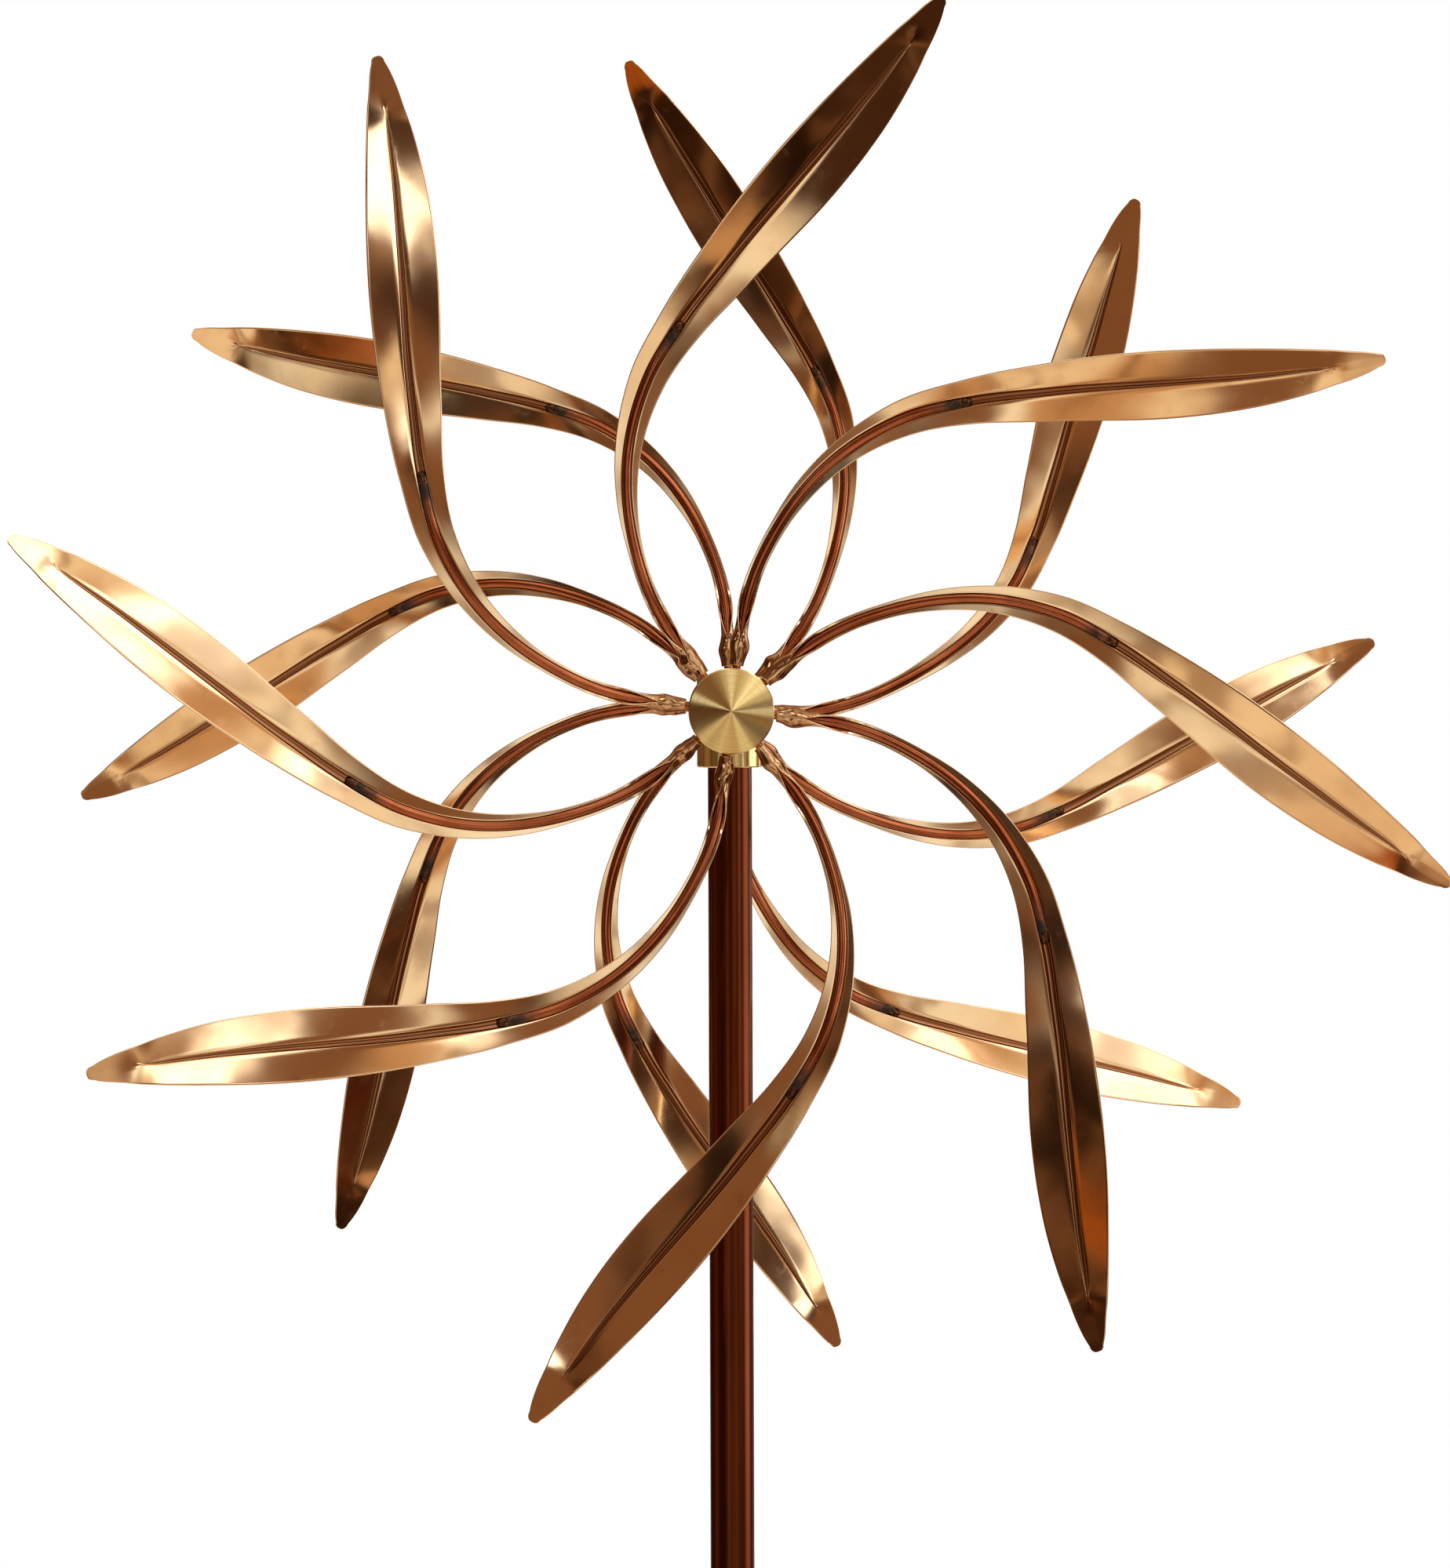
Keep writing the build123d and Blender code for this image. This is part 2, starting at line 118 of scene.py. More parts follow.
def smooth(knots, x):
    """The knots' value at x, by cubic pieces that share their slopes where they meet."""
    last = len(knots) - 1
    slopes = []
    for i in range(last + 1):
        (x0, y0), (x1, y1) = knots[max(i - 1, 0)], knots[min(i + 1, last)]
        slopes.append((y1 - y0) / (x1 - x0))
    i = 0
    while i < last - 1 and x > knots[i + 1][0]:
        i += 1
    (x0, y0), (x1, y1) = knots[i], knots[i + 1]
    span = x1 - x0
    t = min(max((x - x0) / span, 0.0), 1.0)
    rise = y0 * (1 + 2 * t) * (1 - t) ** 2 + y1 * t * t * (3 - 2 * t)
    return rise + span * t * (1 - t) * (slopes[i] * (1 - t) - slopes[i + 1] * t)


def rotor_place(side):
    """The rotor's own axes: x across, y up and z away from the pole."""
    out = -1 if side == "front" else 1
    x_way, up, out_way = Vector((-out, 0, 0)), Vector((0, 0, 1)), Vector((0, out, 0))
    place = Matrix((x_way, up, out_way)).transposed().to_4x4()
    place.translation = axle
    return place


def on_centreline(radius, petal, place):
    """Point of a petal's centreline, in the scene."""
    tip_angle, bow_shortfall, _ = petal
    back = smooth(SWEEP, radius) - bow_shortfall * smooth(BOW_SHARE, radius)
    angle = math.radians(tip_angle + back)
    flat = Vector((radius * math.cos(angle), radius * math.sin(angle), smooth(LEAN, radius)))
    return place @ (flat * MM)


def sheet_axes(radius, petal, rod_side, place):
    """Where the sheet is at this radius: its centre, its way across and the way it faces."""
    step = 0.5
    along = on_centreline(radius + step, petal, place) - on_centreline(radius - step, petal, place)
    along.normalize()
    level = along.cross(place.col[2].to_3d()).normalized()
    face = level.cross(along)
    tilt = math.radians(smooth(PITCH, radius) + petal[2] * smooth(PITCH_SHARE, radius))
    facing = face * (rod_side * math.cos(tilt)) + level * math.sin(tilt)
    return on_centreline(radius, petal, place), facing.cross(along), facing


# ---- Mesh helpers ----
def new_piece(name, points, faces, body, material, values=None):
    """A smooth mesh piece that rides on a body. Values are named numbers, one for each point."""
    mesh = bpy.data.meshes.new(name)
    mesh.from_pydata([tuple(p) for p in points], [], faces)
    mesh.validate()
    for label, numbers in (values or {}).items():
        layer = mesh.attributes.new(label, "FLOAT", "POINT")
        layer.data.foreach_set("value", numbers)
    mesh.shade_smooth()
    piece = bpy.data.objects.new(name, mesh)
    bpy.context.scene.collection.objects.link(piece)
    piece.data.materials.append(material)
    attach(piece, body)
    return piece


def tube_faces(rings, count, capped=True):
    """Quads between closed rings of points, with a face over each end."""
    faces = []
    for k in range(rings - 1):
        for i in range(count):
            j = (i + 1) % count
            faces.append((k * count + i, k * count + j, (k + 1) * count + j, (k + 1) * count + i))
    if capped:
        faces.append(tuple(reversed(range(count))))
        faces.append(tuple((rings - 1) * count + i for i in range(count)))
    return faces


# ---- The petal sheets ----
LEAST_BLADE = 0.3
LEVEL_BELOW = math.radians(30)
LEVEL_STRIP = 1.4
LEVEL_SHARE = 0.4
ARC_STEPS = 11
SHOULDER_STEPS = 4
SHOULDER_SPARE = 0.06
BLADE_STOPS = (0.15, 0.33, 0.52, 0.70, 0.85, 0.95, 1.0)
FACE_POINTS = 2 * (ARC_STEPS + SHOULDER_STEPS + len(BLADE_STOPS)) + 1
# The rounded rim: each point's depth into the sheet, and its share of the rim's bulge.
RIM = ((0.2, 0.75), (0.5, 1.0), (0.8, 0.75))
RIM_BULGE = 0.3
# From the root outwards, the distance between the sheet's sections and how many stand so.
SPACINGS = ((0.6, 29), (1.2, 100), (2.4, 60))
TIP_GAP = 1.2
# The rounded tip's sections, as angles round it in radians.
TIP_TURNS = (0.0, 0.3, 0.6, 0.85, 1.05, 1.2, 1.32, 1.42, 1.5)
TIP_LEAST_WIDTH = 0.02
LEAST_LENGTH = 0.04


def half_width(radius):
    """Half the sheet's width, with a rounded tip."""
    start = TIP_RADIUS - TIP_ROUND
    if radius < start:
        return smooth(WIDTH, radius) / 2
    into = min((radius - start) / TIP_ROUND, 1.0)
    return smooth(WIDTH, start) / 2 * math.sqrt(max(1 - into * into, TIP_LEAST_WIDTH ** 2))


def half_section(radius):
    """Right half of the sheet's face, from the bottom of the channel out to the edge."""
    fade = min(1.0, max(0.0, (CHANNEL_END - radius) / (CHANNEL_END - ROD_END)))
    arc = CHANNEL * (CHANNEL_LEAST + (1 - CHANNEL_LEAST) * fade ** CHANNEL_POWER)
    bottom = -arc - CHANNEL_RISE * (CHANNEL - arc)
    wrap = math.radians(smooth(WRAP, radius))
    settle = math.radians(smooth(SETTLE, radius))
    half = half_width(radius)
    room = min(1.0, half / (arc * math.sin(min(wrap, math.pi / 2)) + SHOULDER + LEAST_BLADE))
    arc, shoulder = arc * room, SHOULDER * room
    # Where the channel has run out, its share of the section is spread over a level strip.
    level = min(LEVEL_STRIP, LEVEL_SHARE * half) * max(0.0, 1 - wrap / LEVEL_BELOW)
    # A shoulder that hardly turns is given a little length, which keeps its points apart.
    spare = SHOULDER_SPARE * max(0.0, 1 - abs(wrap - settle) / LEVEL_BELOW)
    swell = 1 + CRIMP_SWELL * math.exp(-(((radius - CRIMP_AT) / CRIMP_REACH) ** 2))
    points = []
    for k in range(ARC_STEPS + 1):
        turn = wrap * k / ARC_STEPS
        across = arc * math.sin(turn) * swell + level * k / ARC_STEPS
        points.append((across, bottom + arc * (1 - math.cos(turn))))
    x0, y0 = points[-1]
    for k in range(1, SHOULDER_STEPS + 1):
        turn = wrap + (settle - wrap) * k / SHOULDER_STEPS
        across = shoulder * (math.sin(wrap) - math.sin(turn)) + level * k / ARC_STEPS
        rise = shoulder * (math.cos(turn) - math.cos(wrap))
        more = spare * k / SHOULDER_STEPS
        points.append((x0 + across + more * math.cos(settle), y0 + rise + more * math.sin(settle)))
    x1, y1 = points[-1]
    if radius > LIP_END:
        length = max((half - x1) / math.cos(settle), LEAST_LENGTH)
    else:
        length = smooth(LIP, radius)
    for stop in BLADE_STOPS:
        points.append((x1 + length * stop * math.cos(settle), y1 + length * stop * math.sin(settle)))
    return points


def section_loop(radius):
    """The sheet's whole section as a closed loop, with rounded edges, and each point's share of
    the way out to the edge."""
    half = half_section(radius)
    face = [(-x, y) for x, y in half[:0:-1]] + half
    last = len(face) - 1
    normals = []
    for i in range(last + 1):
        (x0, y0), (x1, y1) = face[max(i - 1, 0)], face[min(i + 1, last)]
        size = math.hypot(x1 - x0, y1 - y0) or 1.0
        normals.append((-(y1 - y0) / size, (x1 - x0) / size))
    back = [(x - nx * SHEET, y - ny * SHEET) for (x, y), (nx, ny) in zip(face, normals)]

    def rim(i, outward):
        (x, y), (nx, ny) = face[i], normals[i]
        reach = outward * RIM_BULGE * SHEET
        return [(x - nx * SHEET * s + ny * reach * b, y - ny * SHEET * s - nx * reach * b)
                for s, b in RIM]

    loop = face + rim(last, 1) + back[::-1] + rim(0, -1)[::-1]
    middle = len(half) - 1
    edge = [abs(i - middle) / middle for i in range(last + 1)]
    ends = [1.0] * len(RIM)
    return loop, edge + ends + edge[::-1] + ends


def sheet_radii():
    """Where the sections stand: close together at the crimped root and at the tip."""
    radii = [ROOT_RADIUS]
    for spacing, count in SPACINGS:
        radii += [radii[-1] + spacing * (k + 1) for k in range(count)]
    start = TIP_RADIUS - TIP_ROUND
    radii = [radius for radius in radii if radius < start - TIP_GAP]
    return radii + [start + TIP_ROUND * math.sin(turn) for turn in TIP_TURNS]


BROAD_RIPPLE = 0.34
FINE_RIPPLE = 0.06
RIPPLE_START = 60.0
RIPPLE_FULL = 120.0
SEED_REAR = 20
PUCKER = 1.3
PUCKER_REACH = 6.0
# How far off the noise for the push along y is read from the noise for the push along x.
PUCKER_APART = Vector((21.3, 14.7, 33.1))


def seed_for(side, number):
    """A number of its own for each petal, so that no two are uneven in the same way."""
    return number + (0 if side == "front" else SEED_REAR)


def ripple(radius, x, seed):
    """Small unevenness of hand-bent sheet, in millimetres off its face."""
    broad = noise.noise(Vector((radius / 34, x / 26, seed * 7.3)))
    fine = noise.noise(Vector((radius / 11, x / 9, seed * 3.1 + 40)))
    share = min(max((radius - RIPPLE_START) / (RIPPLE_FULL - RIPPLE_START), 0.0), 1.0)
    return share * (BROAD_RIPPLE * broad + FINE_RIPPLE * fine)


def pucker(radius, x, y, seed):
    """Crumpling at the crimp, as an offset in the section's plane."""
    window = math.exp(-(((radius - CRIMP_AT) / PUCKER_REACH) ** 2))
    where = Vector((radius / 6.0, x / 7.5, y / 7.5 + seed * 5.7))
    push_x, push_y = noise.noise(where), noise.noise(where + PUCKER_APART)
    return window * PUCKER * push_x, window * PUCKER * push_y


def make_petal(side, number, petal, place, material):
    """One leaf of copper sheet, crimped round its rod at the root."""
    seed = seed_for(side, number)
    points, reach, edges = [], [], []
    radii = sheet_radii()
    for radius in radii:
        here, across, facing = sheet_axes(radius, petal, ROD_SIDE[side], place)
        loop, edge = section_loop(radius)
        for (x, y), share in zip(loop, edge):
            shift_x, shift_y = pucker(radius, x, y, seed)
            lift = y + shift_y + ripple(radius, x, seed)
            points.append(here + (across * (x + shift_x) + facing * lift) * MM)
            reach.append(radius / TIP_RADIUS)
            edges.append(share)
    count = len(loop)
    faces = [face[::-1] for face in tube_faces(len(radii), count, capped=False)]
    # Each end of the sheet is closed by quads between its faces, and a face inside each rim.
    for base, order in ((0, 1), ((len(radii) - 1) * count, -1)):
        back = [base + count - 4 - i for i in range(FACE_POINTS)]
        for i in range(FACE_POINTS - 1):
            quad = (base + i, base + i + 1, back[i + 1], back[i])
            faces.append(quad[::order])
        rim = base + FACE_POINTS
        faces.append((rim - 1, rim, rim + 1, rim + 2, back[-1])[::order])
        faces.append((back[0], base + count - 3, base + count - 2, base + count - 1, base)[::order])
    piece = new_piece(f"{side}_petal_{number}", points, faces, f"{side}_rotor",
                      material, {"reach": reach, "edge": edges})
    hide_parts(f"{side}_leaf_{number}")


# ---- The rods and the brazed lumps at their ends ----
ROD_SIDES = 20
ROD_STEPS = 96
# How far each ring stands short of the rod's end, and its share of the rod's radius.
ROD_TIP = ((0.7, 0.97), (0.3, 0.86), (0.08, 0.62), (0.0, 0.2))
ROD_TIP_START = 1.2
ROD_UNEVEN = 0.006


def make_rod(side, number, petal, place, material):
    """The petal's rod, with its sawn end softened by heat."""
    seed = seed_for(side, number)
    length = ROD_END - ROD_TIP_START - ROD_START
    rings = [(ROD_START + length * k / ROD_STEPS, 1.0) for k in range(ROD_STEPS + 1)]
    rings += [(ROD_END - short, share) for short, share in ROD_TIP]
    points, reach = [], []
    for radius, share in rings:
        here, across, facing = sheet_axes(radius, petal, ROD_SIDE[side], place)
        for k in range(ROD_SIDES):
            turn = 2 * math.pi * k / ROD_SIDES
            way = Vector((radius / 6, math.cos(turn), math.sin(turn) + seed))
            size = ROD_RADIUS * share * (1 + ROD_UNEVEN * noise.noise(way))
            points.append(here + (across * math.cos(turn) + facing * math.sin(turn)) * size * MM)
            reach.append(radius / ROD_END)
    piece = new_piece(f"{side}_stem_{number}", points, tube_faces(len(rings), ROD_SIDES),
                      f"{side}_rotor", material, {"reach": reach})
    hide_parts(f"{side}_rod_{number}")


BRAZE_START = 152.0
BRAZE_END = 160.5
BRAZE_RADIUS = 1.88
BRAZE_SINK = 0.6
BRAZE_HEIGHT = 0.92
BRAZE_RINGS = 30
BRAZE_SIDES = 22
BRAZE_TIP = 0.995
BRAZE_LUMPS = 0.16
BRAZE_PITS = 0.06


def make_braze(side, number, petal, place, material):
    """Lump of brazing metal over the rod's end, pitted and burnt dark."""
    seed = seed_for(side, number)
    points = []
    for i in range(BRAZE_RINGS):
        share = -BRAZE_TIP + 2 * BRAZE_TIP * i / (BRAZE_RINGS - 1)
        radius = (BRAZE_START + BRAZE_END) / 2 + share * (BRAZE_END - BRAZE_START) / 2
        here, across, facing = sheet_axes(radius, petal, ROD_SIDE[side], place)
        full = (1 - abs(share) ** 3.0) ** 0.5
        low = -BRAZE_SINK * (0.2 + 0.8 * (i / BRAZE_RINGS))
        for k in range(BRAZE_SIDES):
            turn = 2 * math.pi * k / BRAZE_SIDES
            way = Vector((radius / 1.8, 1.5 * math.cos(turn), 1.5 * math.sin(turn) + seed * 3.3))
            lumps = BRAZE_LUMPS * noise.noise(way) + BRAZE_PITS * noise.noise(way * 3.1)
            size = BRAZE_RADIUS * full * (1 + lumps)
            rise = math.sin(turn) * size * BRAZE_HEIGHT + low
            points.append(here + (across * (math.cos(turn) * size) + facing * rise) * MM)
    new_piece(f"{side}_braze_{number}", points, tube_faces(BRAZE_RINGS, BRAZE_SIDES),
              f"{side}_rotor", material)


# ---- Materials ----
def new_material(name):
    """An empty material, with its nodes, links and main shader."""
    material = bpy.data.materials.new(name)
    material.use_nodes = True
    nodes, links = material.node_tree.nodes, material.node_tree.links
    shader = nodes["Principled BSDF"]
    return material, nodes, links, shader


def add(nodes, kind, inputs=None, **settings):
    """A node with its settings and the values of its inputs."""
    node = nodes.new(kind)
    for key, value in settings.items():
        setattr(node, key, value)
    for key, value in (inputs or {}).items():
        node.inputs[key].default_value = value
    return node


def noise_at(nodes, links, scale, detail=3.0, roughness=0.55, stretch=None):
    """Noise over the object's own coordinates, in metres, as a value from 0 to 1."""
    where = add(nodes, "ShaderNodeTexCoord").outputs["Object"]
    if stretch:
        mapping = add(nodes, "ShaderNodeMapping", {"Scale": stretch})
        links.new(where, mapping.inputs["Vector"])
        where = mapping.outputs["Vector"]
    texture = add(nodes, "ShaderNodeTexNoise",
                  {"Scale": scale, "Detail": detail, "Roughness": roughness})
    links.new(where, texture.inputs["Vector"])
    return texture.outputs["Fac"]


def ranged(nodes, links, value, low, high, to_low, to_high, kind="SMOOTHSTEP"):
    """The value mapped from one range to another, and held at its ends."""
    node = add(nodes, "ShaderNodeMapRange", interpolation_type=kind)
    node.clamp = True
    links.new(value, node.inputs["Value"])
    for key, number in (("From Min", low), ("From Max", high), ("To Min", to_low), ("To Max", to_high)):
        node.inputs[key].default_value = number
    return node.outputs["Result"]


def mixed(nodes, links, factor, first, second):
    """Two colours mixed, where each is a colour or another node's output."""
    node = add(nodes, "ShaderNodeMix", data_type="RGBA")
    links.new(factor, node.inputs["Factor"])
    for socket, colour in ((node.inputs[6], first), (node.inputs[7], second)):
        if isinstance(colour, tuple):
            socket.default_value = (*colour, 1.0)
        else:
            links.new(colour, socket)
    return node.outputs[2]


def computed(nodes, links, first, second, operation="ADD"):
    """Two values added, or combined by another operation. Each is a number or a node's output."""
    node = add(nodes, "ShaderNodeMath", operation=operation)
    for socket, value in ((node.inputs[0], first), (node.inputs[1], second)):
        if isinstance(value, (int, float)):
            socket.default_value = value
        else:
            links.new(value, socket)
    return node.outputs[0]


def bumped(nodes, links, shader, height, distance, strength):
    """Small relief on a material, from a height that runs from 0 to 1."""
    node = add(nodes, "ShaderNodeBump", {"Strength": strength, "Distance": distance})
    links.new(height, node.inputs["Height"])
    links.new(node.outputs["Normal"], shader.inputs["Normal"])


def copper_sheet():
    """Polished copper sheet: warm gold-red, with faint tarnish, scuffs and a burnished edge, a painted
    pale sheen along the stem, and painted shade at the crimp and in the channel.
    """
    material, nodes, links, shader = new_material("copper_sheet")
    shader.inputs["Metallic"].default_value = 1.0
    reach = add(nodes, "ShaderNodeAttribute", attribute_name="reach").outputs["Fac"]
    edge = add(nodes, "ShaderNodeAttribute", attribute_name="edge").outputs["Fac"]
    tarnish = noise_at(nodes, links, 22.0, 4.0)
    patches = ranged(nodes, links, tarnish, 0.38, 0.68, 0.0, 1.0)
    colour = mixed(nodes, links, patches, (0.95, 0.71, 0.45), (0.88, 0.61, 0.36))
    stains = noise_at(nodes, links, 48.0, 7.0, 0.72)
    colour = mixed(nodes, links, ranged(nodes, links, stains, 0.58, 0.76, 0.0, 0.38), colour,
                   (0.44, 0.27, 0.17))
    # Painted sheen: from the root out along the stem the sheet is painted a paler cream, standing in
    # for a bright reflection.
    pale = ranged(nodes, links, reach, 0.28, 0.50, 0.8, 0.0)
    colour = mixed(nodes, links, pale, colour, (1.0, 0.86, 0.66))
    # Painted shade: the crimped root is painted a darker brown, standing in for a dark reflection.
    crimp = ranged(nodes, links, reach, 0.105, 0.135, 0.7, 0.0)
    colour = mixed(nodes, links, crimp, colour, (0.60, 0.32, 0.12))
    # Painted shade: the bottom of the channel is painted dark, from the root to near the tip.
    groove_painted_shade = computed(nodes, links, ranged(nodes, links, edge, 0.30, 0.52, 0.85, 0.0),
                    ranged(nodes, links, reach, 0.915, 0.94, 1.0, 0.0), "MULTIPLY")
    colour = mixed(nodes, links, groove_painted_shade, colour, (0.26, 0.085, 0.030))
    worn = ranged(nodes, links, edge, 0.93, 1.0, 0.0, 0.55)
    colour = mixed(nodes, links, worn, colour, (0.96, 0.72, 0.50))
    links.new(colour, shader.inputs["Base Color"])
    scuffs = noise_at(nodes, links, 130.0, 6.0, 0.7)
    rough = computed(nodes, links, ranged(nodes, links, tarnish, 0.3, 0.7, 0.085, 0.13),
                   ranged(nodes, links, scuffs, 0.55, 0.8, 0.0, 0.08))
    links.new(rough, shader.inputs["Roughness"])
    return material


def copper_rod():
    """Drawn copper rod: redder than the sheet, with fine lines and a burnt, brazed end."""
    material, nodes, links, shader = new_material("copper_rod")
    reach = add(nodes, "ShaderNodeAttribute", attribute_name="reach").outputs["Fac"]
    streak = noise_at(nodes, links, 60.0, 4.0)
    colour = mixed(nodes, links, ranged(nodes, links, streak, 0.35, 0.7, 0.0, 1.0),
                   (0.50, 0.165, 0.075), (0.36, 0.105, 0.045))
    spots = noise_at(nodes, links, 260.0, 4.0)
    burn = computed(nodes, links, ranged(nodes, links, reach, 0.92, 0.985, 0.0, 1.0),
                  ranged(nodes, links, spots, 0.35, 0.55, 0.55, 1.0), "MULTIPLY")
    links.new(mixed(nodes, links, burn, colour, (0.035, 0.026, 0.022)), shader.inputs["Base Color"])
    links.new(ranged(nodes, links, burn, 0.0, 1.0, 1.0, 0.35, "LINEAR"), shader.inputs["Metallic"])
    links.new(ranged(nodes, links, burn, 0.0, 1.0, 0.17, 0.55, "LINEAR"), shader.inputs["Roughness"])
    return material


def braze_metal():
    """Burnt brazing metal: nearly black, with pits and a few bright grains."""
    material, nodes, links, shader = new_material("braze_metal")
    spots = noise_at(nodes, links, 900.0, 4.0, 0.7)
    shader.inputs["Metallic"].default_value = 0.8
    colour = mixed(nodes, links, ranged(nodes, links, spots, 0.42, 0.66, 0.0, 1.0),
                   (0.035, 0.016, 0.010), (0.26, 0.12, 0.06))
    links.new(colour, shader.inputs["Base Color"])
    links.new(ranged(nodes, links, spots, 0.3, 0.7, 0.55, 0.30), shader.inputs["Roughness"])
    bumped(nodes, links, shader, spots, 0.00015, 0.6)
    return material


def turned_brass(name, axis, dish=0.0):
    """Turned brass: a fine lathe finish round the given axis, which fans the light out.

    The dish leans the face outwards from the axle, for the slight cone that the tool leaves."""
    material, nodes, links, shader = new_material(name)
    shader.inputs["Metallic"].default_value = 1.0
    shader.inputs["Anisotropic"].default_value = 0.95
    shader.inputs["Anisotropic Rotation"].default_value = 0.25
    tangent = add(nodes, "ShaderNodeTangent", direction_type="RADIAL", axis=axis)
    links.new(tangent.outputs["Tangent"], shader.inputs["Tangent"])
    where = add(nodes, "ShaderNodeNewGeometry")
    offset = add(nodes, "ShaderNodeVectorMath", {1: tuple(axle)}, operation="SUBTRACT")
    links.new(where.outputs["Position"], offset.inputs[0])
    keep = (1.0, 0.0, 1.0) if dish else (0.0, 0.0, 1.0)
    flat = add(nodes, "ShaderNodeVectorMath", {1: keep}, operation="MULTIPLY")
    links.new(offset.outputs[0], flat.inputs[0])
    if dish:
        outward = add(nodes, "ShaderNodeVectorMath", operation="NORMALIZE")
        links.new(flat.outputs[0], outward.inputs[0])
        lean = add(nodes, "ShaderNodeVectorMath", {"Scale": dish}, operation="SCALE")
        links.new(outward.outputs[0], lean.inputs[0])
        leant = add(nodes, "ShaderNodeVectorMath", operation="ADD")
        links.new(where.outputs["Normal"], leant.inputs[0])
        links.new(lean.outputs[0], leant.inputs[1])
        unit = add(nodes, "ShaderNodeVectorMath", operation="NORMALIZE")
        links.new(leant.outputs[0], unit.inputs[0])
        links.new(unit.outputs[0], shader.inputs["Normal"])
    away = add(nodes, "ShaderNodeVectorMath", operation="LENGTH")
    links.new(flat.outputs[0], away.inputs[0])
    rings = add(nodes, "ShaderNodeTexNoise", {"Scale": 2600.0, "Detail": 3.0}, noise_dimensions="1D")
    links.new(away.outputs["Value"], rings.inputs["W"])
    lines = rings.outputs["Fac"]
    colour = mixed(nodes, links, ranged(nodes, links, lines, 0.35, 0.7, 0.0, 1.0),
                   (0.92, 0.78, 0.40), (0.84, 0.68, 0.30))
    links.new(colour, shader.inputs["Base Color"])
    links.new(ranged(nodes, links, lines, 0.3, 0.7, 0.22, 0.27), shader.inputs["Roughness"])
    return material


def pole_copper():
    """Dark, polished, red-brown copper tube with faint drawn lines along it."""
    material, nodes, links, shader = new_material("pole_copper")
    shader.inputs["Metallic"].default_value = 1.0
    lines = noise_at(nodes, links, 420.0, 5.0, 0.6, (1.0, 1.0, 0.012))
    blotch = noise_at(nodes, links, 9.0, 5.0, 0.6, (1.0, 1.0, 0.35))
    colour = mixed(nodes, links, ranged(nodes, links, blotch, 0.35, 0.7, 0.0, 1.0),
                   (0.200, 0.050, 0.019), (0.135, 0.031, 0.011))
    colour = mixed(nodes, links, ranged(nodes, links, lines, 0.45, 0.7, 0.0, 0.12), colour,
                   (0.24, 0.070, 0.028))
    links.new(colour, shader.inputs["Base Color"])
    links.new(ranged(nodes, links, lines, 0.3, 0.75, 0.22, 0.28), shader.inputs["Roughness"])
    bumped(nodes, links, shader, lines, 0.00002, 0.3)
    return material


def plain_steel(name, colour, roughness, dark):
    """Ground or blackened steel with a little variation."""
    material, nodes, links, shader = new_material(name)
    shader.inputs["Metallic"].default_value = 1.0
    haze = noise_at(nodes, links, 70.0, 5.0)
    links.new(mixed(nodes, links, ranged(nodes, links, haze, 0.35, 0.7, 0.0, 1.0), colour, dark),
              shader.inputs["Base Color"])
    links.new(ranged(nodes, links, haze, 0.3, 0.7, roughness, roughness + 0.12),
              shader.inputs["Roughness"])
    return material


def black_paint():
    """Satin black paint over steel, rubbed and dusty in patches."""
    material, nodes, links, shader = new_material("stake_paint")
    haze = noise_at(nodes, links, 45.0, 6.0, 0.6)
    links.new(mixed(nodes, links, ranged(nodes, links, haze, 0.45, 0.75, 0.0, 1.0),
                    (0.018, 0.016, 0.015), (0.055, 0.047, 0.04)), shader.inputs["Base Color"])
    links.new(ranged(nodes, links, haze, 0.3, 0.7, 0.34, 0.52), shader.inputs["Roughness"])
    bumped(nodes, links, shader, noise_at(nodes, links, 700.0, 3.0), 0.00005, 0.4)
    return material


sheet_finish = copper_sheet()
rod_finish = copper_rod()
braze_finish = braze_metal()
cap_finish = turned_brass("turned_brass_face", "Y", 0.38)
head_finish = turned_brass("turned_brass_side", "Z")
tube_finish = pole_copper()
bearing_finish = plain_steel("bearing_steel", (0.78, 0.78, 0.79), 0.12, (0.62, 0.62, 0.64))
steel_finish = plain_steel("turned_steel", (0.62, 0.62, 0.63), 0.24, (0.45, 0.45, 0.46))
stake_finish = black_paint()


def finish_for(node):
    """The material of a CAD node that keeps its shape."""
    if node.endswith(("_hub", "_cap")):
        return cap_finish
    if node == "pole_head":
        return head_finish
    if node.endswith("_pole"):
        return tube_finish
    if "_bearing_" in node:
        return bearing_finish
    if node == "ground_stake":
        return stake_finish
    return steel_finish


for side, petals in PETALS.items():
    place = rotor_place(side)
    for number, petal in enumerate(petals, start=1):
        make_petal(side, number, petal, place, sheet_finish)
        make_rod(side, number, petal, place, rod_finish)
        make_braze(side, number, petal, place, braze_finish)
for name, node in frame["nodes"].items():
    if "_leaf_" not in name and "_rod_" not in name:
        node.data.materials.clear()
        node.data.materials.append(finish_for(name))


# ---- Floor, light and camera ----
FLOOR_RADIUS = 3.2
FLOOR_SIDES = 96
# The camera: its place from the axle's middle, its own right and backward ways, and its lens.
CAMERA_AT = Vector((-0.0160, -1.6002, 0.0125))
CAMERA_RIGHT = Vector((0.99996, -0.00878, -0.00354))
CAMERA_BACK = Vector((-0.00868, -0.99957, 0.02788))
LENS = 84.88


